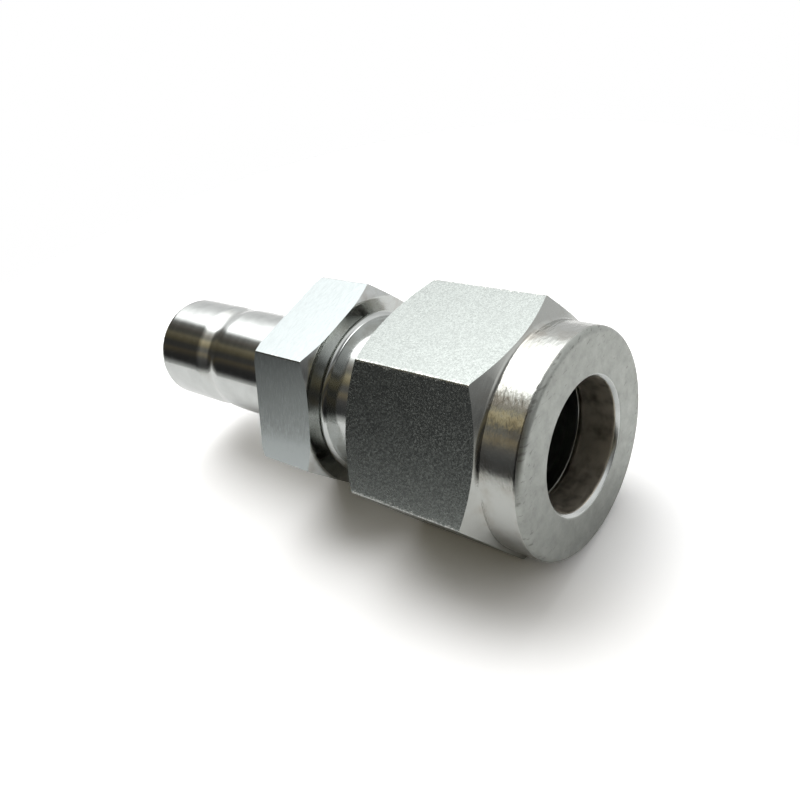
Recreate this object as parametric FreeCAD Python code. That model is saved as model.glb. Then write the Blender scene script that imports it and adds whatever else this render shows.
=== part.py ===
"""Compression tube fitting with a plain stub: body, union nut and a pair of ferrules.

All sizes are in millimetres. The X axis is the axis of the fitting, with +X towards the nut's
open end. X = 0 is the shoulder inside the body where an inserted tube stops. +Z is up, and one
flat of the nut faces straight down.
"""

import FreeCAD, Part
import math
import os

# Tube that the fitting takes, and the way through it
TUBE_DIAMETER = 12.0
SOCKET_CLEARANCE = 0.15
FERRULE_CLEARANCE = 0.10
FLOW_BORE_DIAMETER = 9.5
INSERTION_DEPTH = 22.8

# Straight thread that joins the nut and the body, drawn as plain cylinders at its pitch diameter
THREAD_DIAMETER = 18.0
THREAD_PITCH = 1.5
THREAD_PLAY = 0.05
THREAD_LENGTH = 9.6
THREAD_END_CHAMFER = 0.5
PITCH_DEPTH_PER_PITCH = 0.6495

# Body: hexagon
BODY_ACROSS_FLATS = 20.0
BODY_HEX_LENGTH = 7.5
BODY_HEX_FACE_DIAMETER = 20.6
BODY_HEX_BACK_DIAMETER = 22.05
BODY_HEX_TURN = 6.3
HEX_CHAMFER_ANGLE = 30.0

# Body: neck between the hexagon and the thread, and the mouth that takes the front ferrule
NECK_DIAMETER = 16.2
NECK_LENGTH = 6.0
NECK_ROOT_CHAMFER = 0.35
MOUTH_DIAMETER = 15.0
MOUTH_ANGLE = 20.0

# Body: plain stub with its groove
STUB_DIAMETER = 12.0
STUB_LENGTH = 23.2
STUB_EDGE_RADIUS = 0.9
STUB_BORE_CHAMFER = 0.4
GROOVE_TO_STUB_END = 7.5
GROOVE_WIDTH = 3.2
GROOVE_DEPTH = 0.28
GROOVE_STEEP_SIDE = 0.3
GROOVE_GENTLE_SIDE = 0.9

# Nut: outside
NUT_WALL = 2.0
NUT_LENGTH = 18.8
NUT_REAR_STEP = 0.25
COLLAR_STEP = 0.3
COLLAR_LENGTH = 4.1
COLLAR_EDGE_CHAMFER = 0.25

# Nut: inside
NUT_BORE_LENGTH = 3.75
NUT_BORE_CHAMFER = 0.38
NUT_SEAT_ANGLE = 45.0
CHAMBER_CLEARANCE = 0.35
BODY_FRONT_CLEARANCE = 0.34
NUT_MOUTH_CLEARANCE = 0.25
NUT_MOUTH_DEPTH = 1.5
NUT_MOUTH_CHAMFER = 0.5

# Ferrules
SEAT_GAP = 0.06
FERRULE_WALL = 1.65
FERRULE_NOSE_WALL = 0.25
FERRULE_RIM_LENGTH = 1.62
FERRULE_RECESS_WALL = 0.75
FERRULE_RECESS_ANGLE = 45.0
BACK_FERRULE_REAR_WALL = 0.36
BACK_FERRULE_FLANGE = 0.62
BACK_FERRULE_NOSE_WALL = 0.25

# Room left round a hexagon and beyond its ends, so that only the intended surfaces trim it
TRIM_ALLOWANCE = 0.5


def rise(run, angle):
    """Height that a slope at this angle to the axis gains over a run along the axis."""
    return run * math.tan(math.radians(angle))


def run(height, angle):
    """Length along the axis that a slope at this angle needs to gain a height."""
    return height / math.tan(math.radians(angle))


def across_gap(angle):
    """Radial room between two cones of this slope that lie one seat gap apart."""
    return SEAT_GAP / math.cos(math.radians(angle))


# Radii that several pieces share
socket_radius = TUBE_DIAMETER / 2 + SOCKET_CLEARANCE
ferrule_bore_radius = TUBE_DIAMETER / 2 + FERRULE_CLEARANCE
flow_radius = FLOW_BORE_DIAMETER / 2
male_thread_radius = (THREAD_DIAMETER - PITCH_DEPTH_PER_PITCH * THREAD_PITCH) / 2
female_thread_radius = male_thread_radius + THREAD_PLAY
nut_across_flats = THREAD_DIAMETER + 2 * NUT_WALL
flange_radius = ferrule_bore_radius + FERRULE_WALL
back_rear_radius = ferrule_bore_radius + BACK_FERRULE_REAR_WALL
cone_mouth_radius = MOUTH_DIAMETER / 2 - across_gap(MOUTH_ANGLE)
recess_radius = flange_radius - FERRULE_RECESS_WALL

# Places along the axis that several pieces share: the nut's seat carries the back ferrule, that
# carries the front one, and the front ferrule's cone rests in the body's mouth
nut_face_x = INSERTION_DEPTH
nut_seat_x = nut_face_x - NUT_BORE_LENGTH
back_rear_x = nut_seat_x - run(back_rear_radius + across_gap(NUT_SEAT_ANGLE) - socket_radius, NUT_SEAT_ANGLE)
back_shoulder_x = back_rear_x - run(flange_radius - back_rear_radius, NUT_SEAT_ANGLE)
back_flange_x = back_shoulder_x - BACK_FERRULE_FLANGE
front_rear_x = back_flange_x - SEAT_GAP
front_shoulder_x = front_rear_x - FERRULE_RIM_LENGTH
front_x = front_shoulder_x - run(flange_radius - cone_mouth_radius, MOUTH_ANGLE)
thread_start_x = front_x - THREAD_LENGTH
hex_face_x = thread_start_x - NECK_LENGTH - (male_thread_radius - NECK_DIAMETER / 2)


def rounded_wire(corners):
    """Closed wire in the XZ plane through (x, radius from the axis, corner radius) entries."""
    points = [FreeCAD.Vector(x, 0, r) for x, r, _ in corners]
    count = len(points)
    entry_points = []
    exit_points = []
    arcs = []
    for i, point in enumerate(points):
        corner_radius = corners[i][2]
        back = (points[i - 1] - point).normalize()
        ahead = (points[(i + 1) % count] - point).normalize()
        if corner_radius == 0:
            entry_points.append(point)
            exit_points.append(point)
            arcs.append(None)
            continue
        half_angle = back.getAngle(ahead) / 2
        tangent_length = corner_radius / math.tan(half_angle)
        entry = point + back * tangent_length
        leave = point + ahead * tangent_length
        bisector = (back + ahead).normalize()
        middle = point + bisector * (corner_radius / math.sin(half_angle) - corner_radius)
        entry_points.append(entry)
        exit_points.append(leave)
        arcs.append(Part.Arc(entry, middle, leave).toShape())
    edges = []
    for i in range(count):
        if arcs[i] is not None:
            edges.append(arcs[i])
        following = entry_points[(i + 1) % count]
        edges.append(Part.LineSegment(exit_points[i], following).toShape())
    return Part.Wire(edges)


def turned(corners):
    """Solid of revolution about the X axis from a closed section."""
    face = Part.Face(rounded_wire(corners))
    return face.revolve(FreeCAD.Vector(0, 0, 0), FreeCAD.Vector(1, 0, 0), 360)


def hexagon_bar(across_flats, turn, first_x, last_x):
    """Hexagonal bar past both ends, with a flat facing down at turn = 0, turned about X in degrees."""
    start_x = first_x - TRIM_ALLOWANCE
    end_x = last_x + TRIM_ALLOWANCE
    corner_radius = across_flats / 2 / math.cos(math.radians(30))
    corners = []
    for i in range(6):
        angle = math.radians(60 * i + turn)
        y = corner_radius * math.cos(angle)
        z = corner_radius * math.sin(angle)
        corners.append(FreeCAD.Vector(start_x, y, z))
    corners.append(corners[0])
    face = Part.Face(Part.makePolygon(corners))
    return face.extrude(FreeCAD.Vector(end_x - start_x, 0, 0))


def largest_radius(across_flats):
    """Radius of a round blank that leaves the corners of a hexagon whole."""
    return across_flats / 2 / math.cos(math.radians(30)) + TRIM_ALLOWANCE


def make_body():
    """One turned piece: ferrule mouth, thread, neck, hexagon and grooved stub."""
    blank = largest_radius(BODY_ACROSS_FLATS)
    hex_back_x = hex_face_x - BODY_HEX_LENGTH
    stub_end_x = hex_back_x - STUB_LENGTH
    stub_radius = STUB_DIAMETER / 2
    neck_radius = NECK_DIAMETER / 2
    face_radius = BODY_HEX_FACE_DIAMETER / 2
    back_radius = BODY_HEX_BACK_DIAMETER / 2
    face_run = rise(blank - face_radius, HEX_CHAMFER_ANGLE)
    back_run = rise(blank - back_radius, HEX_CHAMFER_ANGLE)
    mouth_radius = MOUTH_DIAMETER / 2
    throat_x = front_x - run(mouth_radius - socket_radius, MOUTH_ANGLE)
    thread_step = male_thread_radius - neck_radius
    groove_x = stub_end_x + GROOVE_TO_STUB_END
    groove_radius = stub_radius - GROOVE_DEPTH
    section = [
        (0, flow_radius, 0),
        (0, socket_radius, 0),
        (throat_x, socket_radius, 0),
        (front_x, mouth_radius, 0),
        (front_x, male_thread_radius - THREAD_END_CHAMFER, 0),
        (front_x - THREAD_END_CHAMFER, male_thread_radius, 0),
        (thread_start_x, male_thread_radius, 0),
        (thread_start_x - thread_step, neck_radius, 0),
        (hex_face_x + NECK_ROOT_CHAMFER, neck_radius, 0),
        (hex_face_x, neck_radius + NECK_ROOT_CHAMFER, 0),
        (hex_face_x, face_radius, 0),
        (hex_face_x - face_run, blank, 0),
        (hex_back_x + back_run, blank, 0),
        (hex_back_x, back_radius, 0),
        (hex_back_x, stub_radius, 0),
        (groove_x + GROOVE_WIDTH, stub_radius, 0),
        (groove_x + GROOVE_WIDTH - GROOVE_GENTLE_SIDE, groove_radius, 0),
        (groove_x + GROOVE_STEEP_SIDE, groove_radius, 0),
        (groove_x, stub_radius, 0),
        (stub_end_x, stub_radius, STUB_EDGE_RADIUS),
        (stub_end_x, flow_radius + STUB_BORE_CHAMFER, 0),
        (stub_end_x + STUB_BORE_CHAMFER, flow_radius, 0),
    ]
    bar = hexagon_bar(BODY_ACROSS_FLATS, BODY_HEX_TURN, stub_end_x, front_x)
    return turned(section).common(bar)


def make_nut():
    """Union nut: threaded mouth, ferrule chamber and seat, hexagon and round collar."""
    blank = largest_radius(nut_across_flats)
    rear_x = nut_face_x - NUT_LENGTH
    rear_radius = nut_across_flats / 2 - NUT_REAR_STEP
    collar_radius = nut_across_flats / 2 - COLLAR_STEP
    collar_root_x = nut_face_x - COLLAR_LENGTH
    rear_run = rise(blank - rear_radius, HEX_CHAMFER_ANGLE)
    front_run = rise(blank - collar_radius, HEX_CHAMFER_ANGLE)
    chamber_radius = flange_radius + CHAMBER_CLEARANCE
    chamber_x = nut_seat_x - run(chamber_radius - socket_radius, NUT_SEAT_ANGLE)
    thread_end_x = front_x + BODY_FRONT_CLEARANCE
    runout = run(female_thread_radius - chamber_radius, NUT_SEAT_ANGLE)
    mouth_radius = THREAD_DIAMETER / 2 + NUT_MOUTH_CLEARANCE
    mouth_x = rear_x + NUT_MOUTH_DEPTH
    mouth_end_run = run(mouth_radius - female_thread_radius, NUT_SEAT_ANGLE)
    section = [
        (rear_x, mouth_radius + NUT_MOUTH_CHAMFER, 0),
        (rear_x, rear_radius, 0),
        (rear_x + rear_run, blank, 0),
        (collar_root_x - front_run, blank, 0),
        (collar_root_x, collar_radius, 0),
        (nut_face_x - COLLAR_EDGE_CHAMFER, collar_radius, 0),
        (nut_face_x, collar_radius - COLLAR_EDGE_CHAMFER, 0),
        (nut_face_x, socket_radius + NUT_BORE_CHAMFER, 0),
        (nut_face_x - NUT_BORE_CHAMFER, socket_radius, 0),
        (nut_seat_x, socket_radius, 0),
        (chamber_x, chamber_radius, 0),
        (thread_end_x + max(runout, 0), chamber_radius, 0),
        (thread_end_x + min(runout, 0), female_thread_radius, 0),
        (mouth_x + mouth_end_run, female_thread_radius, 0),
        (mouth_x, mouth_radius, 0),
        (rear_x + NUT_MOUTH_CHAMFER, mouth_radius, 0),
    ]
    bar = hexagon_bar(nut_across_flats, 0, rear_x, nut_face_x)
    return turned(section).common(bar)


def make_back_ferrule():
    """Small ring: its rear cone sits on the nut's seat, its nose enters the front ferrule."""
    root_radius = recess_radius - across_gap(FERRULE_RECESS_ANGLE) + rise(SEAT_GAP, FERRULE_RECESS_ANGLE)
    nose_radius = ferrule_bore_radius + BACK_FERRULE_NOSE_WALL
    nose_x = back_flange_x - run(root_radius - nose_radius, FERRULE_RECESS_ANGLE)
    section = [
        (nose_x, ferrule_bore_radius, 0),
        (nose_x, nose_radius, 0),
        (back_flange_x, root_radius, 0),
        (back_flange_x, flange_radius, 0),
        (back_shoulder_x, flange_radius, 0),
        (back_rear_x, back_rear_radius, 0),
        (back_rear_x, ferrule_bore_radius, 0),
    ]
    return turned(section)


def make_front_ferrule():
    """Long ring: its cone sits in the body's mouth, its rear recess takes the back ferrule."""
    nose_radius = ferrule_bore_radius + FERRULE_NOSE_WALL
    nose_x = front_x - run(cone_mouth_radius - nose_radius, MOUTH_ANGLE)
    recess_end_x = front_rear_x - run(recess_radius - ferrule_bore_radius, FERRULE_RECESS_ANGLE)
    section = [
        (nose_x, ferrule_bore_radius, 0),
        (nose_x, nose_radius, 0),
        (front_shoulder_x, flange_radius, 0),
        (front_rear_x, flange_radius, 0),
        (front_rear_x, recess_radius, 0),
        (recess_end_x, ferrule_bore_radius, 0),
    ]
    return turned(section)


def main():
    """Build every piece and write each to its own file."""
    pieces = {
        "body": make_body(),
        "nut": make_nut(),
        "front_ferrule": make_front_ferrule(),
        "back_ferrule": make_back_ferrule(),
    }
    os.makedirs("parts", exist_ok=True)
    for name, shape in pieces.items():
        solid = shape.Solids[0]
        solid.exportStep(os.path.join("parts", name + ".step"))
        print(name, "solids:", len(shape.Solids), "valid:", solid.isValid(), "volume:", round(solid.Volume, 1))


main()
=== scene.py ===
"""Straight steel compression fitting for 12 mm tube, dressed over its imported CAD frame.

Every piece is a turned section, spun about the fitting's axis. The hexagons are then cut from it
flat by flat, and the screw threads are cut with a helical tool, as on the real bar stock.
"""

import math
import bpy
from bpy.props import FloatProperty, FloatVectorProperty, IntProperty, PointerProperty
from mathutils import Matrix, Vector


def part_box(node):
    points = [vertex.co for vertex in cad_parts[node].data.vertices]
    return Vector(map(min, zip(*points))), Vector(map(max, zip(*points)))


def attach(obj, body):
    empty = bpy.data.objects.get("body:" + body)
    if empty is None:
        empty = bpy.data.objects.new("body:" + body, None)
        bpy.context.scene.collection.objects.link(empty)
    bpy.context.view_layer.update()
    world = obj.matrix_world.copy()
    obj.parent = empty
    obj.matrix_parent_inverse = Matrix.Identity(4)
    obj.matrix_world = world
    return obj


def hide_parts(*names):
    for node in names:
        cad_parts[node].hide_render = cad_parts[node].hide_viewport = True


bl_info = {
    "name": "Compression Tube Fitting",
    "version": (1, 0, 0),
    "blender": (4, 5, 0),
    "location": "3D View > Sidebar > Fitting",
    "description": "Builds a steel compression fitting with its nut, ferrules and threads",
    "category": "Add Mesh",
}

AXIS = (1, 0, 0)

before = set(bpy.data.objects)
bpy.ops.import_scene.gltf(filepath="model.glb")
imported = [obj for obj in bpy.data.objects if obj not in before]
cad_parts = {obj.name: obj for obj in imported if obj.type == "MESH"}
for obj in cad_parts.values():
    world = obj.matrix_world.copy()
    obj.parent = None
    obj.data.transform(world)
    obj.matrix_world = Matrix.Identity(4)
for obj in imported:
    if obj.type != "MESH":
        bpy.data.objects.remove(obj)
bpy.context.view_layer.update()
nut_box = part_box("nut")
body_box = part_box("body")


def mm(value):
    """Millimetres to metres."""
    return value / 1000


def linear(code):
    """An sRGB hex colour as linear red, green, blue and alpha."""
    found = []
    for place in (1, 3, 5):
        share = int(code[place:place + 2], 16) / 255
        found.append(share / 12.92 if share <= 0.04045 else ((share + 0.055) / 1.055) ** 2.4)
    return (*found, 1.0)


def length(name, value, note):
    """A length that a user may change, in metres."""
    return FloatProperty(name=name, description=note, default=value, unit="LENGTH", subtype="DISTANCE",
        precision=5)


def angle(name, degrees, note):
    """An angle that a user may change."""
    return FloatProperty(name=name, description=note, default=math.radians(degrees), unit="ROTATION",
        subtype="ANGLE")


def colour(name, code, note):
    """A colour that a user may change."""
    return FloatVectorProperty(name=name, description=note, default=linear(code), size=4, min=0, max=1,
        subtype="COLOR")


class FittingThreadSizes(bpy.types.PropertyGroup):
    """The M18 fine thread that holds the nut on the body, and the facets of all round shapes."""

    pitch: length("Pitch", mm(1.5), "Travel of the nut in one turn")
    male_crest: length("Male crest radius", mm(8.95), "Outside of the thread on the body")
    male_root: length("Male root radius", mm(8.11), "Bottom of the groove on the body")
    female_crest: length("Female crest radius", mm(8.19), "Inside of the thread in the nut")
    female_root: length("Female root radius", mm(9.03), "Bottom of the groove in the nut")
    play: length("Flank play", mm(0.03), "Axial gap between the flanks of both threads")
    flank: angle("Flank angle", 30, "Slope of a flank against the plane across the axis")
    thread_steps: IntProperty(name="Thread steps", description="Facets in one turn of a thread",
        default=72, min=24)
    round_steps: IntProperty(name="Round steps", description="Facets round a turned shape", default=192,
        min=48)


class FittingBodySizes(bpy.types.PropertyGroup):
    """The body: plain stub, hexagon, neck, thread, and the bores through it."""

    stub_end: length("Stub end", body_box[0].x, "Place of the stub's open end along the axis")
    stub_radius: length("Stub radius", mm(6.0), "Half of the 12 mm stub")
    stub_edge: length("Stub edge", mm(0.9), "Rounding at the stub's open end")
    groove_start: length("Groove start", mm(-25.010), "Side of the groove nearer to the open end")
    groove_end: length("Groove end", mm(-21.810), "Side of the groove nearer to the hexagon")
    groove_depth: length("Groove depth", mm(0.26), "Depth of the shallow groove")
    hexagon_back: length("Hexagon back", mm(-9.310), "Face of the hexagon towards the stub")
    hexagon_front: length("Hexagon front", mm(-1.810), "Face of the hexagon towards the nut")
    hexagon_width: length("Across flats", mm(20.0), "Spanner size of the body")
    hexagon_turn: angle("Hexagon turn", 36.3, "Direction of the first flat, from +Y towards +Z")
    front_circle: length("Front circle", mm(10.3), "Radius of the turned face towards the nut")
    back_circle: length("Back circle", mm(11.03), "Radius of the turned face towards the stub")
    neck_radius: length("Neck radius", mm(8.1), "Half of the neck between hexagon and thread")
    neck_fillet: length("Neck fillet", mm(0.6), "Hollow rounding where the neck meets the hexagon")
    thread_start: length("Thread start", mm(4.190), "Where the neck ends and the thread begins")
    front: length("Front", body_box[1].x, "End of the body inside the nut")
    mouth_radius: length("Mouth radius", mm(7.5), "Open end of the cone that takes the ferrule")
    mouth_angle: angle("Mouth angle", 20, "Slope of that cone against the axis")
    socket_radius: length("Socket radius", mm(6.15), "Bore that takes the tube")
    flow_radius: length("Flow radius", mm(4.75), "Bore that runs right through")


class FittingNutSizes(bpy.types.PropertyGroup):
    """The union nut: collar, hexagon, tube bore, seat, chamber and thread."""

    rear: length("Rear", nut_box[0].x, "Face of the nut towards the body's hexagon")
    face: length("Face", nut_box[1].x, "Open end that the tube goes in")
    width: length("Across flats", mm(22.0), "Spanner size of the nut")
    turn: angle("Hexagon turn", 30, "Direction of the first flat, from +Y towards +Z")
    rear_circle: length("Rear circle", mm(10.75), "Radius of the turned rear face")
    collar_radius: length("Collar radius", mm(10.7), "Half of the round collar")
    collar_length: length("Collar length", mm(4.1), "Length of the round collar")
    collar_fillet: length("Collar fillet", mm(0.3), "Hollow rounding at the collar's root")
    collar_edge: length("Collar edge", mm(0.65), "Rounding at the collar's rim")
    bore_radius: length("Bore radius", mm(6.15), "Hole that the tube goes through")
    bore_length: length("Bore length", mm(3.75), "From the face to the seat")
    entry_chamfer: length("Entry chamfer", mm(0.38), "Bright bevel round the hole")
    chamber_radius: length("Chamber radius", mm(8.1), "Room for the ferrules")
    chamber_start: length("Chamber start", mm(15.0), "Rear end of that room")
    relief_radius: length("Relief radius", mm(9.12), "Run-out groove at the end of the thread")
    mouth_radius: length("Mouth radius", mm(9.25), "Counterbore at the rear")
    mouth_depth: length("Mouth depth", mm(1.5), "Depth of that counterbore")


class FittingFerruleSizes(bpy.types.PropertyGroup):
    """The two rings that grip the tube."""

    bore_radius: length("Bore radius", mm(6.1), "Inside of both rings")
    outer_radius: length("Outer radius", mm(7.75), "Outside of both rings")
    edge: length("Edge", mm(0.12), "Rounding of the outer edges")


class FittingColours(bpy.types.PropertyGroup):
    """Colours of the bare steel, before any light falls on it."""

    polished: colour("Polished steel", "#C7CAC8", "Stub and neck, ground bright")
    turned: colour("Turned steel", "#B0B2AE", "Collar and faces from the lathe")
    drawn: colour("Drawn steel", "#9A9F9C", "Grainy flats of the nut's bar")
    brushed: colour("Brushed steel", "#A0A6A6", "Flats of the body's bar")
    stain: colour("Oil stain", "#837766", "Thin brown film where the tools left oil")
    floor: colour("Floor", "#C2C2BF", "Pale table top")


class FittingStudio(bpy.types.PropertyGroup):
    """Camera, floor and light."""

    camera_place: FloatVectorProperty(
        name="Camera place", description="Where the photograph was taken from", subtype="TRANSLATION",
        unit="LENGTH",
        default=(mm(54.798), mm(-44.217), mm(51.461)))
    camera_turn: FloatVectorProperty(
        name="Camera turn", description="Which way the camera looks", subtype="EULER", unit="ROTATION",
        default=(math.radians(51.372), math.radians(16.811), math.radians(37.453)))
    lens: FloatProperty(name="Lens", description="Focal length on a 36 mm sensor", default=37.53, min=1)
    floor_height: length("Floor height", nut_box[0].z, "The nut rests on it with one flat")
    floor_radius: length("Floor radius", 0.10,
        "The table ends here, so low reflections show the room past it")
    box_light: FloatProperty(name="Light strength", description="Brightness of the large soft light",
        default=4.1, min=0)


# Steps that any piece uses


def nothing_selected():
    """Leaves object mode with nothing selected."""
    if bpy.context.mode != "OBJECT":
        bpy.ops.object.mode_set(mode="OBJECT")
    bpy.ops.object.select_all(action="DESELECT")


def take(piece):
    """Makes this the one selected object."""
    nothing_selected()
    piece.select_set(True)
    bpy.context.view_layer.objects.active = piece


def pick(piece, kind, test):
    """In edit mode, selects only the vertices, edges or faces that pass the test, and returns how many."""
    take(piece)
    bpy.ops.object.mode_set(mode="EDIT")
    bpy.ops.mesh.select_mode(type=kind)
    bpy.ops.mesh.select_all(action="DESELECT")
    bpy.ops.object.mode_set(mode="OBJECT")
    mesh = piece.data
    chosen = 0
    for part in {"VERT": mesh.vertices, "EDGE": mesh.edges, "FACE": mesh.polygons}[kind]:
        part.select = test(part)
        chosen += part.select
    bpy.ops.object.mode_set(mode="EDIT")
    return chosen


def draw_section(name, corners):
    """Draws a closed outline in the XZ plane, corner by corner, and rounds those that give a radius."""
    nothing_selected()
    first = Vector((corners[0][0], 0, corners[0][1]))
    bpy.ops.mesh.primitive_plane_add(size=mm(0.1), location=first)
    piece = bpy.context.object
    piece.name = name
    piece.data.name = name
    bpy.ops.object.transform_apply(location=True, rotation=True, scale=True)
    bpy.ops.object.mode_set(mode="EDIT")
    bpy.ops.mesh.select_mode(type="VERT")
    bpy.ops.mesh.select_all(action="SELECT")
    bpy.ops.mesh.merge(type="CENTER")
    here = first
    for corner in corners[1:] + corners[:1]:
        there = Vector((corner[0], 0, corner[1]))
        bpy.ops.mesh.extrude_region_move(TRANSFORM_OT_translate={"value": there - here})
        here = there
    bpy.ops.mesh.select_all(action="SELECT")
    bpy.ops.mesh.remove_doubles(threshold=mm(0.002))
    for x, radius, rounding in corners:
        if rounding:
            place = Vector((x, 0, radius))
            pick(piece, "VERT", lambda v: (v.co - place).length < mm(0.005))
            bpy.ops.mesh.bevel(offset=rounding, segments=5, profile=0.5, affect="VERTICES",
                clamp_overlap=False)
    bpy.ops.object.mode_set(mode="OBJECT")
    return piece


def turn_on_lathe(piece, steps):
    """Spins the section once round the axis and closes the seam."""
    take(piece)
    bpy.ops.object.mode_set(mode="EDIT")
    bpy.ops.mesh.select_all(action="SELECT")
    bpy.ops.mesh.spin(steps=steps, angle=2 * math.pi, center=(0, 0, 0), axis=AXIS)
    bpy.ops.mesh.select_all(action="SELECT")
    bpy.ops.mesh.remove_doubles(threshold=mm(0.002))
    bpy.ops.mesh.normals_make_consistent(inside=False)
    bpy.ops.object.mode_set(mode="OBJECT")


def flat_directions(first):
    """Unit vectors across the six flats."""
    return [Vector((0, math.cos(first + k * math.pi / 3),
        math.sin(first + k * math.pi / 3))) for k in range(6)]


def mill_hexagon(piece, width, first, edge):
    """Cuts six flats, then a narrow chamfer of this width along each long corner."""
    take(piece)
    bpy.ops.object.mode_set(mode="EDIT")
    corner = width / math.sqrt(3) - edge / 2 / math.tan(math.radians(60))
    flats = [(across, width / 2) for across in flat_directions(first)]
    corners = [(across, corner) for across in flat_directions(first + math.pi / 6)]
    for across, distance in flats + corners:
        bpy.ops.mesh.select_all(action="SELECT")
        bpy.ops.mesh.bisect(
            plane_co=across * distance, plane_no=across, use_fill=True, clear_outer=True,
            threshold=mm(0.0002))
    if pick(piece, "FACE", lambda f: on_a_flat(f, width, first)) < 6:
        raise RuntimeError(piece.name + " has fewer than six flats")
    bpy.ops.object.mode_set(mode="OBJECT")


def on_a_flat(face, width, first):
    """Whether a face lies on one of the hexagon's flats."""
    for across in flat_directions(first):
        if face.normal.dot(across) > 0.9995 and abs(face.center.dot(across) - width / 2) < mm(0.02):
            return True
    return False


def helical_tool(name, centre, inner, outer, inner_half, outer_half, turns, sizes):
    """A closed helical bar with a trapezoid section, which cuts one thread groove."""
    tool = draw_section(name, [
        (centre - inner_half, inner, 0),
        (centre + inner_half, inner, 0),
        (centre + outer_half, outer, 0),
        (centre - outer_half, outer, 0),
    ])
    wind = tool.modifiers.new("Wind", "SCREW")
    wind.axis = "X"
    wind.angle = 2 * math.pi
    wind.screw_offset = sizes.pitch
    wind.iterations = turns
    wind.steps = sizes.thread_steps
    wind.render_steps = sizes.thread_steps
    wind.use_merge_vertices = True
    wind.merge_threshold = mm(0.002)
    take(tool)
    bpy.ops.object.modifier_apply(modifier=wind.name)
    bpy.ops.object.mode_set(mode="EDIT")
    bpy.ops.mesh.select_mode(type="EDGE")
    bpy.ops.mesh.select_all(action="DESELECT")
    bpy.ops.mesh.select_non_manifold()
    bpy.ops.mesh.fill_holes(sides=0)
    bpy.ops.mesh.select_all(action="SELECT")
    bpy.ops.mesh.normals_make_consistent(inside=False)
    bpy.ops.object.mode_set(mode="OBJECT")
    return tool


def cut_with(piece, tool):
    """Takes the tool's shape out of the piece and puts the tool away."""
    cut = piece.modifiers.new("Cut", "BOOLEAN")
    cut.operation = "DIFFERENCE"
    cut.solver = "EXACT"
    cut.object = tool
    take(piece)
    bpy.ops.object.modifier_apply(modifier=cut.name)
    take(tool)
    bpy.ops.object.delete()
    if not piece.data.polygons:
        raise RuntimeError("cutting the thread emptied " + piece.name)


def finish_surface(piece):
    """Merges doubles, shades smooth up to 32 degrees and lets the large faces set the normals."""
    take(piece)
    bpy.ops.object.mode_set(mode="EDIT")
    bpy.ops.mesh.select_all(action="SELECT")
    bpy.ops.mesh.remove_doubles(threshold=mm(0.003))
    bpy.ops.object.mode_set(mode="OBJECT")
    bpy.ops.object.shade_smooth_by_angle(angle=math.radians(32))
    weigh = piece.modifiers.new("Weigh", "WEIGHTED_NORMAL")
    weigh.keep_sharp = True
    weigh.weight = 80
    bpy.ops.object.modifier_apply(modifier=weigh.name)


def lay_finish(piece, base, zones):
    """Gives the whole piece its base material, then each zone its own, by place and normal."""
    piece.data.materials.clear()
    piece.data.materials.append(base)
    for material, test in zones:
        piece.data.materials.append(material)
        if not pick(piece, "FACE", test):
            raise RuntimeError(piece.name + " has no face for " + material.name)
        piece.active_material_index = len(piece.data.materials) - 1
        bpy.ops.object.material_slot_assign()
        bpy.ops.object.mode_set(mode="OBJECT")


def radius_of(face):
    """Distance of a face's middle from the axis."""
    return math.hypot(face.center.y, face.center.z)


def file_piece(piece, body, slot, *nodes):
    """Hands the finished piece to the frame."""
    if piece.location.length or piece.scale != Vector((1, 1, 1)):
        raise RuntimeError(piece.name + " isn't at the origin")
    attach(piece, body)
    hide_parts(*nodes)


# Surfaces


def add_node(tree, kind, inputs=None, **settings):
    """Adds one node, sets it up and links it to what it reads."""
    node = tree.nodes.new(kind)
    for name, value in settings.items():
        setattr(node, name, value)
    for socket, value in (inputs or {}).items():
        if isinstance(value, bpy.types.NodeSocket):
            tree.links.new(value, node.inputs[socket])
        else:
            node.inputs[socket].default_value = value
    return node


def start_metal(name):
    """An empty metal material: its tree, its shader, and places on the piece in millimetres."""
    material = bpy.data.materials.new(name)
    material.use_nodes = True
    tree = material.node_tree
    tree.nodes.clear()
    shader = add_node(tree, "ShaderNodeBsdfPrincipled", {"Metallic": 1.0})
    add_node(tree, "ShaderNodeOutputMaterial", {"Surface": shader.outputs["BSDF"]})
    place = add_node(tree, "ShaderNodeTexCoord").outputs["Object"]
    scaled = add_node(tree, "ShaderNodeVectorMath", {0: place, "Scale": 1000.0}, operation="SCALE")
    return material, tree, shader, scaled.outputs["Vector"]


def lathe_coordinates(tree, place, ring, streak):
    """Stretches a pattern along the turning marks: ring is their spacing and streak their length, in mm."""
    parts = add_node(tree, "ShaderNodeSeparateXYZ", {0: place})
    flat = add_node(tree, "ShaderNodeCombineXYZ", {"Y": parts.outputs["Y"], "Z": parts.outputs["Z"]})
    radius = add_node(tree, "ShaderNodeVectorMath", {0: flat.outputs[0]},
        operation="LENGTH").outputs["Value"]
    # The radius counts 1.37 times, so that a cone at 45 degrees has rings too; 9 mm is a middling radius
    along = add_node(tree, "ShaderNodeMath", {0: radius, 1: 1.37, 2: parts.outputs["X"]},
        operation="MULTIPLY_ADD")
    rings = add_node(tree, "ShaderNodeMath", {0: along.outputs[0], 1: 1 / ring}, operation="MULTIPLY")
    around = add_node(tree, "ShaderNodeVectorMath", {0: flat.outputs[0]}, operation="NORMALIZE")
    spread = add_node(
        tree, "ShaderNodeVectorMath", {0: around.outputs["Vector"], "Scale": 9.0 / streak},
        operation="SCALE")
    turned = add_node(tree, "ShaderNodeSeparateXYZ", {0: spread.outputs["Vector"]})
    made = add_node(tree, "ShaderNodeCombineXYZ", {
        "X": rings.outputs[0], "Y": turned.outputs["Y"], "Z": turned.outputs["Z"]})
    return made.outputs[0]


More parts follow.
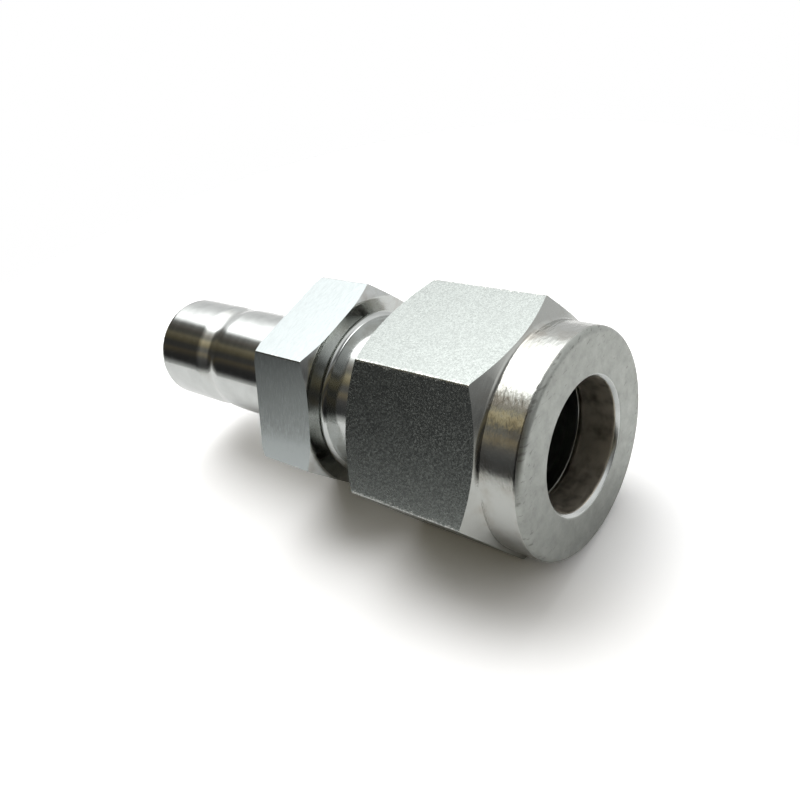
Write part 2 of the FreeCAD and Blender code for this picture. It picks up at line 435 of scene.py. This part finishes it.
def turned_steel(name, base, roughness, ring, streak, depth, stain, stain_share, flecks, calm=1.0):
    """Stainless steel as the lathe leaves it: fine rings that drag each highlight out in streaks."""
    material, tree, shader, place = start_metal(name)
    coarse_marks = lathe_coordinates(tree, place, ring, streak)
    fine_marks = lathe_coordinates(tree, place, ring / 2.5, streak / 2)
    coarse = add_node(tree, "ShaderNodeTexNoise", {"Vector": coarse_marks, "Scale": 1.0, "Detail": 1.0})
    fine = add_node(tree, "ShaderNodeTexNoise", {"Vector": fine_marks, "Scale": 1.0, "Detail": 2.0,
        "Roughness": 0.6})
    # Flecks of 0.1 to 0.3 mm where chips were pressed in, thick in some places and absent in others
    chips = add_node(tree, "ShaderNodeTexNoise", {
        "Vector": place, "Scale": 3.2, "Detail": 2.0, "Roughness": 0.55, "Distortion": 0.3})
    where = add_node(tree, "ShaderNodeTexNoise", {"Vector": place, "Scale": 0.28, "Detail": 2.0})
    crowd = add_node(tree, "ShaderNodeMapRange", {
        0: where.outputs["Fac"], 1: 0.42, 2: 0.66, 3: -0.3, 4: flecks}, interpolation_type="SMOOTHSTEP")
    dense = add_node(tree, "ShaderNodeMath", {0: chips.outputs["Fac"], 1: crowd.outputs[0]},
        operation="ADD")
    pits = add_node(tree, "ShaderNodeMapRange", {
        0: dense.outputs[0], 1: 0.70, 2: 0.76, 3: 0.0, 4: 1.0}, interpolation_type="SMOOTHSTEP")
    cloud = add_node(tree, "ShaderNodeTexNoise", {"Vector": place, "Scale": 0.35, "Detail": 3.0,
        "Roughness": 0.6})
    film = add_node(tree, "ShaderNodeMapRange", {
        0: cloud.outputs["Fac"], 1: 0.42, 2: 0.72, 3: 0.0, 4: stain_share}, interpolation_type="SMOOTHSTEP")
    mixed = add_node(tree, "ShaderNodeMix", {0: film.outputs[0], 6: base, 7: stain}, data_type="RGBA")
    pitted = add_node(tree, "ShaderNodeMix", {
        0: pits.outputs[0], 6: mixed.outputs[2], 7: linear("#5E5B56")}, data_type="RGBA")
    tree.links.new(pitted.outputs[2], shader.inputs["Base Color"])
    gloss = add_node(tree, "ShaderNodeMapRange", {
        0: fine.outputs["Fac"], 1: 0.3, 2: 0.7, 3: roughness * 0.8, 4: roughness * 1.25})
    tree.links.new(gloss.outputs[0], shader.inputs["Roughness"])
    # The tool chattered on one side more than on the other
    height_now = add_node(tree, "ShaderNodeSeparateXYZ", {0: place}).outputs["Z"]
    bite = add_node(tree, "ShaderNodeMapRange", {
        0: height_now, 1: 6.5, 2: 8.5, 3: calm, 4: 1.0}, interpolation_type="SMOOTHSTEP")
    waves = add_node(tree, "ShaderNodeMath", {0: coarse.outputs["Fac"], 1: bite.outputs[0]},
        operation="MULTIPLY")
    rings = add_node(tree, "ShaderNodeMath", {0: fine.outputs["Fac"], 1: 0.3, 2: waves.outputs[0]},
                     operation="MULTIPLY_ADD")
    height = add_node(tree, "ShaderNodeMath", {0: pits.outputs[0], 1: -0.5, 2: rings.outputs[0]},
                      operation="MULTIPLY_ADD")
    bump = add_node(tree, "ShaderNodeBump", {"Height": height.outputs[0], "Strength": 1.0,
        "Distance": mm(depth)})
    tree.links.new(bump.outputs["Normal"], shader.inputs["Normal"])
    return material


def drawn_steel(name, base, roughness, pit, corner, stretch, depth, contrast):
    """Bar stock as the die leaves it: a tight grain whose pits scatter light, and nicks along the
    corners."""
    material, tree, shader, place = start_metal(name)
    parts = add_node(tree, "ShaderNodeSeparateXYZ", {0: place})
    flat = add_node(tree, "ShaderNodeCombineXYZ", {"Y": parts.outputs["Y"], "Z": parts.outputs["Z"]})
    radius = add_node(tree, "ShaderNodeVectorMath", {0: flat.outputs[0]},
        operation="LENGTH").outputs["Value"]
    # Grain of 0.15 mm on the nut, and brush marks 0.8 mm long on the body: coarser than real, so that
    # they show
    drawn = add_node(tree, "ShaderNodeMapping", {"Vector": place, "Scale": stretch})
    grain = add_node(tree, "ShaderNodeTexNoise", {
        "Vector": drawn.outputs[0], "Scale": 1.0, "Detail": 4.0, "Roughness": 0.7})
    cloud = add_node(tree, "ShaderNodeTexNoise", {"Vector": place, "Scale": 0.25, "Detail": 3.0,
        "Roughness": 0.6})
    # Nicks that reach 0.1 to 0.25 mm in from each corner
    ragged = add_node(tree, "ShaderNodeTexNoise", {"Vector": place, "Scale": 4.5, "Detail": 2.0,
        "Roughness": 0.6})
    reach = add_node(tree, "ShaderNodeMath", {0: ragged.outputs["Fac"], 1: 0.6, 2: radius},
        operation="MULTIPLY_ADD")
    nicks = add_node(tree, "ShaderNodeMapRange", {
        0: reach.outputs[0], 1: corner + 0.22, 2: corner + 0.27, 3: 0.0, 4: 1.0},
        interpolation_type="SMOOTHSTEP")
    dark = tuple(v * (1 - contrast) for v in base[:3]) + (1.0,)
    light = tuple(v * (1 + contrast) for v in base[:3]) + (1.0,)
    speck = add_node(tree, "ShaderNodeMapRange", {
        0: grain.outputs["Fac"], 1: 0.35, 2: 0.65, 3: 0.0, 4: 1.0}, interpolation_type="SMOOTHSTEP")
    toned = add_node(tree, "ShaderNodeMix", {0: speck.outputs[0], 6: dark, 7: light}, data_type="RGBA")
    broad = add_node(tree, "ShaderNodeMapRange", {0: cloud.outputs["Fac"], 1: 0.3, 2: 0.7, 3: 0.0, 4: 0.4})
    even = add_node(tree, "ShaderNodeMix", {0: broad.outputs[0], 6: toned.outputs[2], 7: base},
        data_type="RGBA")
    worn = add_node(tree, "ShaderNodeMix", {
        0: nicks.outputs[0], 6: even.outputs[2], 7: linear("#C9CBC6")}, data_type="RGBA")
    tree.links.new(worn.outputs[2], shader.inputs["Base Color"])
    gloss = add_node(tree, "ShaderNodeMapRange", {
        0: grain.outputs["Fac"], 1: 0.45, 2: 0.65, 3: roughness * 0.9, 4: pit},
        interpolation_type="SMOOTHSTEP")
    tree.links.new(gloss.outputs[0], shader.inputs["Roughness"])
    height = add_node(tree, "ShaderNodeMath", {0: nicks.outputs[0], 1: -1.2, 2: grain.outputs["Fac"]},
                      operation="MULTIPLY_ADD")
    bump = add_node(tree, "ShaderNodeBump", {"Height": height.outputs[0], "Strength": 1.0,
        "Distance": mm(depth)})
    tree.links.new(bump.outputs["Normal"], shader.inputs["Normal"])
    return material


def faced_steel(name, base, roughness, smudge):
    """The nut's end, faced and then handled: a dull bloom in soft clouds, and short scratches by the
    rim."""
    material, tree, shader, place = start_metal(name)
    parts = add_node(tree, "ShaderNodeSeparateXYZ", {0: place})
    flat = add_node(tree, "ShaderNodeCombineXYZ", {"Y": parts.outputs["Y"], "Z": parts.outputs["Z"]})
    radius = add_node(tree, "ShaderNodeVectorMath", {0: flat.outputs[0]},
        operation="LENGTH").outputs["Value"]
    clouds = add_node(tree, "ShaderNodeTexNoise", {"Vector": place, "Scale": 0.8, "Detail": 6.0,
        "Roughness": 0.68})
    grain = add_node(tree, "ShaderNodeTexNoise", {"Vector": place, "Scale": 7.0, "Detail": 3.0,
        "Roughness": 0.7})
    # Scratches 0.1 mm wide and about 1 mm long
    leaning = add_node(tree, "ShaderNodeMapping", {
        "Vector": place, "Rotation": (math.radians(35), 0, 0), "Scale": (1.0, 1.2, 5.0)})
    marks = add_node(tree, "ShaderNodeTexNoise", {"Vector": leaning.outputs[0], "Scale": 1.0,
        "Detail": 2.0})
    by_the_rim = add_node(tree, "ShaderNodeMapRange", {0: radius, 1: 7.8, 2: 10.2, 3: 0.0, 4: 0.09})
    keen = add_node(tree, "ShaderNodeMath", {0: marks.outputs["Fac"], 1: by_the_rim.outputs[0]},
        operation="ADD")
    scratch = add_node(tree, "ShaderNodeMapRange", {
        0: keen.outputs[0], 1: 0.68, 2: 0.76, 3: 0.0, 4: 0.4}, interpolation_type="SMOOTHSTEP")
    dull = tuple(v * 0.82 for v in base[:3]) + (1.0,)
    bright = tuple(v * 1.1 for v in base[:3]) + (1.0,)
    bloom = add_node(tree, "ShaderNodeMapRange", {0: clouds.outputs["Fac"], 1: 0.32, 2: 0.68, 3: 0.0,
        4: 0.8})
    speck = add_node(tree, "ShaderNodeMath", {0: grain.outputs["Fac"], 1: 0.5, 2: bloom.outputs[0]},
                     operation="MULTIPLY_ADD")
    share = add_node(tree, "ShaderNodeMath", {0: speck.outputs[0], 1: 0.22}, operation="SUBTRACT",
        use_clamp=True)
    toned = add_node(tree, "ShaderNodeMix", {0: share.outputs[0], 6: dull, 7: bright}, data_type="RGBA")
    marked = add_node(tree, "ShaderNodeMix", {0: scratch.outputs[0], 6: toned.outputs[2], 7: smudge},
        data_type="RGBA")
    tree.links.new(marked.outputs[2], shader.inputs["Base Color"])
    gloss = add_node(tree, "ShaderNodeMapRange", {
        0: share.outputs[0], 1: 0.0, 2: 1.0, 3: roughness * 1.2, 4: roughness * 0.85})
    tree.links.new(gloss.outputs[0], shader.inputs["Roughness"])
    bump = add_node(tree, "ShaderNodeBump", {"Height": share.outputs[0], "Strength": 1.0,
        "Distance": mm(0.004)})
    tree.links.new(bump.outputs["Normal"], shader.inputs["Normal"])
    return material


def polished_steel(name, base, roughness):
    """Stainless steel ground bright: clear reflections, with a faint ring here and there."""
    material, tree, shader, place = start_metal(name)
    marks = lathe_coordinates(tree, place, 0.25, 6.0)
    fine = add_node(tree, "ShaderNodeTexNoise", {"Vector": marks, "Scale": 1.0, "Detail": 3.0,
        "Roughness": 0.65})
    cloud = add_node(tree, "ShaderNodeTexNoise", {"Vector": place, "Scale": 0.5, "Detail": 3.0,
        "Roughness": 0.6})
    dull = tuple(v * 0.86 for v in base[:3]) + (1.0,)
    share = add_node(tree, "ShaderNodeMapRange", {0: cloud.outputs["Fac"], 1: 0.35, 2: 0.7, 3: 0.0, 4: 1.0})
    mixed = add_node(tree, "ShaderNodeMix", {0: share.outputs[0], 6: base, 7: dull}, data_type="RGBA")
    tree.links.new(mixed.outputs[2], shader.inputs["Base Color"])
    gloss = add_node(tree, "ShaderNodeMapRange", {
        0: fine.outputs["Fac"], 1: 0.3, 2: 0.7, 3: roughness * 0.8, 4: roughness * 1.4})
    tree.links.new(gloss.outputs[0], shader.inputs["Roughness"])
    bump = add_node(tree, "ShaderNodeBump", {"Height": fine.outputs["Fac"], "Strength": 1.0,
        "Distance": mm(0.0015)})
    tree.links.new(bump.outputs["Normal"], shader.inputs["Normal"])
    return material


# Pieces


class FITTING_OT_body(bpy.types.Operator):
    """Turn, mill and thread the body"""

    bl_idname = "fitting.body"
    bl_label = "Body"

    def execute(self, context):
        size = context.scene.fitting_body
        thread = context.scene.fitting_thread
        tint = context.scene.fitting_colours
        slope = math.tan(math.radians(30))
        bar = size.hexagon_width / 2 / math.cos(math.radians(30)) + mm(0.5)
        throat = size.front - (size.mouth_radius - size.socket_radius) / math.tan(size.mouth_angle)
        bottom = size.stub_radius - size.groove_depth
        rise = thread.male_crest - size.neck_radius
        piece = draw_section("fitting_body", [
            (size.stub_end, size.flow_radius + mm(0.4), 0),
            (size.stub_end, size.stub_radius, size.stub_edge),
            (size.groove_start, size.stub_radius, mm(0.4)),
            (size.groove_end - mm(1.2), bottom, mm(0.5)),
            (size.groove_end, size.stub_radius, mm(0.5)),
            (size.hexagon_back, size.stub_radius, mm(0.2)),
            (size.hexagon_back, size.back_circle, mm(0.06)),
            (size.hexagon_back + (bar - size.back_circle) * slope, bar, 0),
            (size.hexagon_front - (bar - size.front_circle) * slope, bar, 0),
            (size.hexagon_front, size.front_circle, mm(0.25)),
            (size.hexagon_front, size.neck_radius, size.neck_fillet),
            (size.thread_start, size.neck_radius, mm(0.1)),
            (size.thread_start + rise, thread.male_crest, 0),
            (size.front - mm(0.9), thread.male_crest, 0),
            (size.front, thread.male_crest - mm(0.9), 0),
            (size.front, size.mouth_radius, mm(0.08)),
            (throat, size.socket_radius, mm(0.1)),
            (0, size.socket_radius, mm(0.1)),
            (0, size.flow_radius, mm(0.1)),
            (size.stub_end + mm(0.4), size.flow_radius, 0),
        ])
        turn_on_lathe(piece, thread.round_steps)
        mill_hexagon(piece, size.hexagon_width, size.hexagon_turn, mm(0.16))
        half = mm(0.1425) + thread.play / 2
        reach = mm(9.1) - thread.male_root
        tool = helical_tool(
            "male_tool", size.thread_start - mm(0.9), thread.male_root, mm(9.1),
            half, half + reach * math.tan(thread.flank), 9, thread)
        cut_with(piece, tool)
        finish_surface(piece)
        polish = polished_steel("stainless_steel_ground", tint.polished, 0.11)
        turned = turned_steel("stainless_steel_turned_face", tint.polished, 0.13, 0.2, 3.0, 0.0003,
            tint.stain, 0.4, -0.3)
        flats = drawn_steel("stainless_steel_brushed_flat", tint.brushed, 0.12, 0.17, 11.61, (6.0, 1.2,
            1.2), 0.001, 0.06)
        cut = turned_steel("stainless_steel_cut_thread", tint.turned, 0.25, 0.3, 5.0, 0.003, tint.stain,
            0.5, 0.0)
        bored = turned_steel("stainless_steel_bored", tint.turned, 0.3, 0.3, 5.0, 0.005, tint.stain, 0.7,
            0.0)
        groove = turned_steel(
            "stainless_steel_turned_groove", tint.polished, 0.16, 0.25, 3.0, 0.002, tint.stain, 0.15, -0.3)
        half_width = size.hexagon_width / 2
        lay_finish(piece, polish, [
            (groove, lambda f: size.groove_start < f.center.x < size.groove_end
             and size.flow_radius + mm(0.4) < radius_of(f) < size.stub_radius - mm(0.03)),
            (turned, lambda f: abs(f.normal.x) > 0.4 and size.hexagon_back - mm(0.1) < f.center.x
             < size.hexagon_front + mm(0.05) and radius_of(f) > size.neck_radius + size.neck_fillet),
            (flats, lambda f: size.hexagon_back < f.center.x < size.hexagon_front
             and radius_of(f) > half_width - mm(0.05) and abs(f.normal.x) < 0.4),
            (cut, lambda f: f.center.x > size.thread_start + mm(0.05)
             and radius_of(f) > size.mouth_radius + mm(0.1)),
            (bored, lambda f: radius_of(f) < size.flow_radius + mm(0.2)
             or (f.center.x > -mm(0.05) and radius_of(f) < size.mouth_radius + mm(0.1))),
        ])
        file_piece(piece, "fitting_body", "body_steel", "body")
        return {"FINISHED"}


class FITTING_OT_nut(bpy.types.Operator):
    """Turn, mill and thread the union nut"""

    bl_idname = "fitting.nut"
    bl_label = "Union nut"

    def execute(self, context):
        size = context.scene.fitting_nut
        thread = context.scene.fitting_thread
        tint = context.scene.fitting_colours
        slope = math.tan(math.radians(30))
        bar = size.width / 2 / math.cos(math.radians(30)) + mm(0.5)
        root = size.face - size.collar_length
        seat_end = size.face - size.bore_length
        seat_start = seat_end - (size.chamber_radius - size.bore_radius)
        step = size.relief_radius - thread.female_crest
        bottom = size.rear + size.mouth_depth
        piece = draw_section("union_nut", [
            (size.rear, size.mouth_radius + mm(0.5), 0),
            (size.rear, size.rear_circle, mm(0.06)),
            (size.rear + (bar - size.rear_circle) * slope, bar, 0),
            (root - (bar - size.collar_radius) * slope, bar, 0),
            (root, size.collar_radius, size.collar_fillet),
            (size.face, size.collar_radius, size.collar_edge),
            (size.face, size.bore_radius + size.entry_chamfer, mm(0.16)),
            (size.face - size.entry_chamfer, size.bore_radius, mm(0.16)),
            (seat_end, size.bore_radius, mm(0.05)),
            (seat_start, size.chamber_radius, 0),
            (size.chamber_start, size.chamber_radius, mm(0.05)),
            (size.chamber_start, size.relief_radius, mm(0.15)),
            (size.chamber_start - mm(1.7), size.relief_radius, mm(0.15)),
            (size.chamber_start - mm(1.7) - step, thread.female_crest, 0),
            (bottom + size.mouth_radius - thread.female_crest, thread.female_crest, 0),
            (bottom, size.mouth_radius, 0),
            (size.rear + mm(0.5), size.mouth_radius, 0),
        ])
        turn_on_lathe(piece, thread.round_steps)
        mill_hexagon(piece, size.width, size.turn, mm(0.18))
        half = mm(0.0765) + thread.play / 2
        reach = thread.female_root - mm(8.05)
        start = context.scene.fitting_body.thread_start - mm(0.9) + thread.pitch / 2
        tool = helical_tool(
            "female_tool", start, mm(8.05), thread.female_root,
            half + reach * math.tan(thread.flank), half, 6, thread)
        cut_with(piece, tool)
        finish_surface(piece)
        collar = turned_steel("stainless_steel_turned_collar", tint.turned, 0.15, 0.32, 0.7, 0.034,
            tint.stain, 0.4, 0.03, 0.1)
        face = faced_steel("stainless_steel_faced_end", linear("#A7AAA5"), 0.38, linear("#56544F"))
        flats = drawn_steel("stainless_steel_drawn_flat", tint.drawn, 0.19, 0.33, 12.702, (6.0, 6.5, 6.5),
            0.007, 0.22)
        bored = turned_steel(
            "stainless_steel_bored_dark", linear("#D6CFC2"), 0.42, 0.5, 4.0, 0.004, linear("#6F6658"),
            0.9, -0.3)
        shoulder = turned_steel(
            "stainless_steel_turned_shoulder", tint.turned, 0.2, 0.25, 3.0, 0.003, tint.stain, 0.2, -0.3)
        bevel = polished_steel("stainless_steel_cut_bevel", tint.polished, 0.2)
        half_width = size.width / 2
        lay_finish(piece, collar, [
            (shoulder, lambda f: abs(f.normal.x) > 0.4 and f.center.x < root + mm(0.02)
             and radius_of(f) > size.mouth_radius),
            (bevel, lambda f: f.center.x > size.face - size.entry_chamfer - mm(0.1)
             and radius_of(f) < size.bore_radius + size.entry_chamfer + mm(0.02)),
            (face, lambda f: f.normal.x > 0.25 and f.center.x > size.face - size.collar_edge
             and radius_of(f) > size.bore_radius + size.entry_chamfer),
            (flats, lambda f: radius_of(f) > half_width - mm(0.05) and abs(f.normal.x) < 0.45),
            (bored, lambda f: radius_of(f) < size.relief_radius + mm(0.05)
             and size.rear + mm(0.02) < f.center.x < size.face - size.entry_chamfer),
        ])
        file_piece(piece, "nut", "nut_steel", "nut")
        return {"FINISHED"}


class FITTING_OT_ferrules(bpy.types.Operator):
    """Turn the front and the back ferrule"""

    bl_idname = "fitting.ferrules"
    bl_label = "Ferrules"

    def execute(self, context):
        size = context.scene.fitting_ferrules
        thread = context.scene.fitting_thread
        tint = context.scene.fitting_colours
        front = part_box("front_ferrule")
        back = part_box("back_ferrule")
        outer = size.outer_radius
        bore = size.bore_radius
        cone = math.tan(math.radians(20))
        nose = bore + mm(0.25)
        recess = mm(7.0)
        step = outer - bore - mm(0.36)
        sections = {
            "front_ferrule_ring": [
                (front[0].x, bore, mm(0.04)),
                (front[0].x, nose, mm(0.06)),
                (front[0].x + (outer - nose) / cone, outer, size.edge),
                (front[1].x, outer, size.edge),
                (front[1].x, recess, mm(0.04)),
                (front[1].x - (recess - bore), bore, mm(0.04)),
            ],
            "back_ferrule_ring": [
                (back[0].x, bore, mm(0.03)),
                (back[0].x, nose, mm(0.03)),
                (back[0].x + recess - mm(0.02) - nose, recess - mm(0.02), 0),
                (back[0].x + recess - mm(0.02) - nose, outer, size.edge),
                (back[1].x - step, outer, size.edge),
                (back[1].x, outer - step, mm(0.04)),
                (back[1].x, bore, mm(0.04)),
            ],
        }
        metal = turned_steel("stainless_steel_fine_turned", tint.turned, 0.18, 0.2, 4.0, 0.003,
            tint.stain, 0.3, 0.0)
        for name, corners in sections.items():
            piece = draw_section(name, corners)
            turn_on_lathe(piece, thread.round_steps)
            finish_surface(piece)
            piece.data.materials.append(metal)
            file_piece(piece, "ferrule_set", "ferrule_steel", name.replace("_ring", ""))
        return {"FINISHED"}


class FITTING_OT_stage(bpy.types.Operator):
    """Set up the camera, the pale floor and the soft light"""

    bl_idname = "fitting.stage"
    bl_label = "Stage"

    def execute(self, context):
        studio = context.scene.fitting_studio
        tint = context.scene.fitting_colours
        nothing_selected()
        bpy.ops.object.camera_add(location=studio.camera_place, rotation=studio.camera_turn)
        camera = context.object
        camera.name = "photo_camera"
        camera.data.lens = studio.lens
        camera.data.sensor_width = 36
        camera.data.clip_start = mm(2)
        camera.data.clip_end = 20
        context.scene.camera = camera
        context.scene.view_settings.view_transform = "Standard"
        bpy.ops.mesh.primitive_circle_add(
            vertices=96, radius=studio.floor_radius, fill_type="NGON",
            location=(mm(-25), mm(-15), studio.floor_height))
        floor = context.object
        floor.name = "floor"
        bpy.ops.object.transform_apply(location=True, rotation=True, scale=True)
        floor.data.materials.append(self.floor_paint(tint.floor))
        self.light(context.scene, studio)
        return {"FINISHED"}

    def floor_paint(self, tone):
        """Matt laminate, pale and even. Where no shadow falls it comes out white, also in the metal."""
        material = bpy.data.materials.new("laminate_matt")
        material.use_nodes = True
        tree = material.node_tree
        tree.nodes.clear()
        place = add_node(tree, "ShaderNodeTexCoord").outputs["Object"]
        grain = add_node(tree, "ShaderNodeTexNoise", {"Vector": place, "Scale": 4000.0, "Detail": 2.0})
        bump = add_node(tree, "ShaderNodeBump", {"Height": grain.outputs["Fac"], "Strength": 0.2,
            "Distance": mm(0.01)})
        ray = add_node(tree, "ShaderNodeLightPath").outputs
        first = add_node(tree, "ShaderNodeMath", {0: ray["Diffuse Depth"], 1: 0.5}, operation="LESS_THAN")
        mirrored = add_node(
            tree, "ShaderNodeMath", {0: ray["Is Glossy Ray"], 1: first.outputs[0]}, operation="MULTIPLY")
        seen = add_node(tree, "ShaderNodeMath", {0: ray["Is Camera Ray"], 1: mirrored.outputs[0]},
            operation="ADD")
        shown = add_node(
            tree, "ShaderNodeMath", {0: seen.outputs[0], 1: ray["Is Transmission Ray"]}, operation="ADD")
        clear = add_node(
            tree, "ShaderNodeMath", {0: ray["Is Camera Ray"], 1: 0.42, 2: 1.0}, operation="MULTIPLY_ADD")
        shade = add_node(tree, "ShaderNodeMix", {0: shown.outputs[0], 6: tone, 7: clear.outputs[0]},
            data_type="RGBA")
        shader = add_node(tree, "ShaderNodeBsdfPrincipled", {
            "Base Color": shade.outputs[2], "Roughness": 0.7, "Specular IOR Level": 0.2,
            "Normal": bump.outputs["Normal"]})
        add_node(tree, "ShaderNodeOutputMaterial", {"Surface": shader.outputs["BSDF"]})
        return material

    def light(self, scene, studio):
        """A large soft light behind, pale walls round it, and the darker room on the camera's side."""
        world = bpy.data.worlds.new("soft_studio")
        world.use_nodes = True
        tree = world.node_tree
        tree.nodes.clear()
        way = add_node(tree, "ShaderNodeTexCoord").outputs["Generated"]
        parts = add_node(tree, "ShaderNodeSeparateXYZ", {0: way})
        level = parts.outputs["Z"]

        facing = {"level": level, "along": parts.outputs["X"]}
        for name, direction in (
            ("side", (0.254, 0.855, 0.336)),
            ("box", (-0.4716, 0.3958, 0.7880)),
            ("camera", (0.2, -0.98, 0)),
            ("across", (0.132, 0.815, 0.563)),
        ):
            facing[name] = add_node(
                tree, "ShaderNodeVectorMath", {0: way, 1: direction},
                operation="DOT_PRODUCT").outputs["Value"]
        # Each band: what it follows, where it starts and ends, its value there and there, and its curve
        bands = {}
        for name, source, begin, end, low, high, curve in (
            ("pale_side", "side", 0.012, 0.142, 0.0, 1.0, "SMOOTHSTEP"),
            ("height", "level", 0.10, 0.80, 0.0, 1.0, "LINEAR"),
            ("box", "box", 0.78, 0.94, 0.0, 1.0, "SMOOTHSTEP"),
            ("right", "along", 0.86, 0.97, 1.0, 0.35, "SMOOTHSTEP"),
            ("camera", "camera", 0.0, 0.5, 1.0, 0.15, "SMOOTHSTEP"),
            ("wall", "level", 0.05, 0.42, 0.80, 1.05, "SMOOTHSTEP"),
            ("top", "level", 0.72, 0.95, 1.0, 0.25, "SMOOTHSTEP"),
            ("across", "across", -0.75, 0.40, 0.0, 1.0, "LINEAR"),
            ("rise", "along", -0.76, -0.52, 0.85, 5.0, "LINEAR"),
            ("fall", "along", -0.44, -0.25, 1.0, 0.2, "SMOOTHSTEP"),
            ("sill", "level", 0.05, -0.16, 0.0, 1.0, "SMOOTHSTEP"),
        ):
            bands[name] = add_node(tree, "ShaderNodeMapRange", {
                0: facing[source], 1: begin, 2: end, 3: low, 4: high}, interpolation_type=curve).outputs[0]
        # The light box, the pale walls and the strip by the camera are products of bands
        for name, factors in (
            ("box", ("box", "height", "height")),
            ("ceiling", ("wall", "right", "camera", "top")),
            ("near", ("rise", "fall")),
        ):
            product = bands[factors[0]]
            for factor in factors[1:]:
                product = add_node(
                    tree, "ShaderNodeMath", {0: product, 1: bands[factor]}, operation="MULTIPLY").outputs[0]
            bands[name] = product
        bright = add_node(tree, "ShaderNodeMix", {
            0: bands["box"], 2: bands["ceiling"], 3: studio.box_light}, data_type="FLOAT")
        room = add_node(tree, "ShaderNodeValToRGB", {0: bands["across"]})
        ramp = room.color_ramp
        for place, code in (
            (0.130, "#282828"),
            (0.235, "#343332"),
            (0.330, "#534C3E"),
            (0.391, "#3F3E3C"),
            (0.461, "#3E3D3A"),
            (0.539, "#5C5543"),
            (0.635, "#78705C"),
            (0.696, "#59574F"),
            (0.739, "#53514B"),
            (0.783, "#615B55"),
            (0.870, "#81807C"),
            (0.939, "#B3B3B1"),
        ):
            ramp.elements.new(place).color = linear(code)
        ramp.elements[0].color = linear("#212121")
        ramp.elements[-1].color = linear("#CBCBCA")
        dim = add_node(tree, "ShaderNodeMix", {
            0: bands["sill"], 6: room.outputs["Color"], 7: linear("#CCCCC9")}, data_type="RGBA")
        reach = add_node(tree, "ShaderNodeMix", {0: bands["sill"], 2: bands["near"], 3: 1.0},
            data_type="FLOAT")
        tone = add_node(tree, "ShaderNodeMix", {
            0: bands["pale_side"], 6: dim.outputs[2], 7: (1, 1, 1, 1)}, data_type="RGBA")
        strength = add_node(tree, "ShaderNodeMix", {
            0: bands["pale_side"], 2: reach.outputs[0], 3: bright.outputs[0]}, data_type="FLOAT")
        lit = add_node(tree, "ShaderNodeBackground", {"Color": tone.outputs[2],
            "Strength": strength.outputs[0]})
        white = add_node(tree, "ShaderNodeBackground", {"Color": (1, 1, 1, 1), "Strength": 1.0})
        seen = add_node(tree, "ShaderNodeLightPath").outputs["Is Camera Ray"]
        either = add_node(tree, "ShaderNodeMixShader", {0: seen, 1: lit.outputs[0], 2: white.outputs[0]})
        add_node(tree, "ShaderNodeOutputWorld", {"Surface": either.outputs[0]})
        scene.world = world


PIECES = ("fitting.stage", "fitting.body", "fitting.nut", "fitting.ferrules")


class FITTING_PT_panel(bpy.types.Panel):
    """Lists the pieces and their sizes"""

    bl_idname = "FITTING_PT_panel"
    bl_label = "Tube Fitting"
    bl_space_type = "VIEW_3D"
    bl_region_type = "UI"
    bl_category = "Fitting"

    def draw(self, context):
        layout = self.layout
        for operator in PIECES:
            layout.operator(operator)
        for name in GROUPS:
            group = getattr(context.scene, name)
            box = layout.box()
            box.label(text=name.replace("fitting_", "").title())
            for key in group.bl_rna.properties.keys():
                if key not in ("rna_type", "name"):
                    box.prop(group, key)


GROUPS = {
    "fitting_thread": FittingThreadSizes,
    "fitting_body": FittingBodySizes,
    "fitting_nut": FittingNutSizes,
    "fitting_ferrules": FittingFerruleSizes,
    "fitting_colours": FittingColours,
    "fitting_studio": FittingStudio,
}
OPERATORS = (FITTING_OT_stage, FITTING_OT_body, FITTING_OT_nut, FITTING_OT_ferrules, FITTING_PT_panel)


def register():
    """Adds the classes and hangs the sizes and colours on the scene."""
    for name, group in GROUPS.items():
        bpy.utils.register_class(group)
        setattr(bpy.types.Scene, name, PointerProperty(type=group))
    for item in OPERATORS:
        bpy.utils.register_class(item)


def unregister():
    """Takes everything off again."""
    for item in reversed(OPERATORS):
        bpy.utils.unregister_class(item)
    for name, group in reversed(GROUPS.items()):
        delattr(bpy.types.Scene, name)
        bpy.utils.unregister_class(group)


def main():
    """Registers the add-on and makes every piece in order."""
    register()
    bpy.ops.fitting.stage()
    bpy.ops.fitting.body()
    bpy.ops.fitting.nut()
    bpy.ops.fitting.ferrules()
    nothing_selected()


if __name__ == "__main__":
    main()
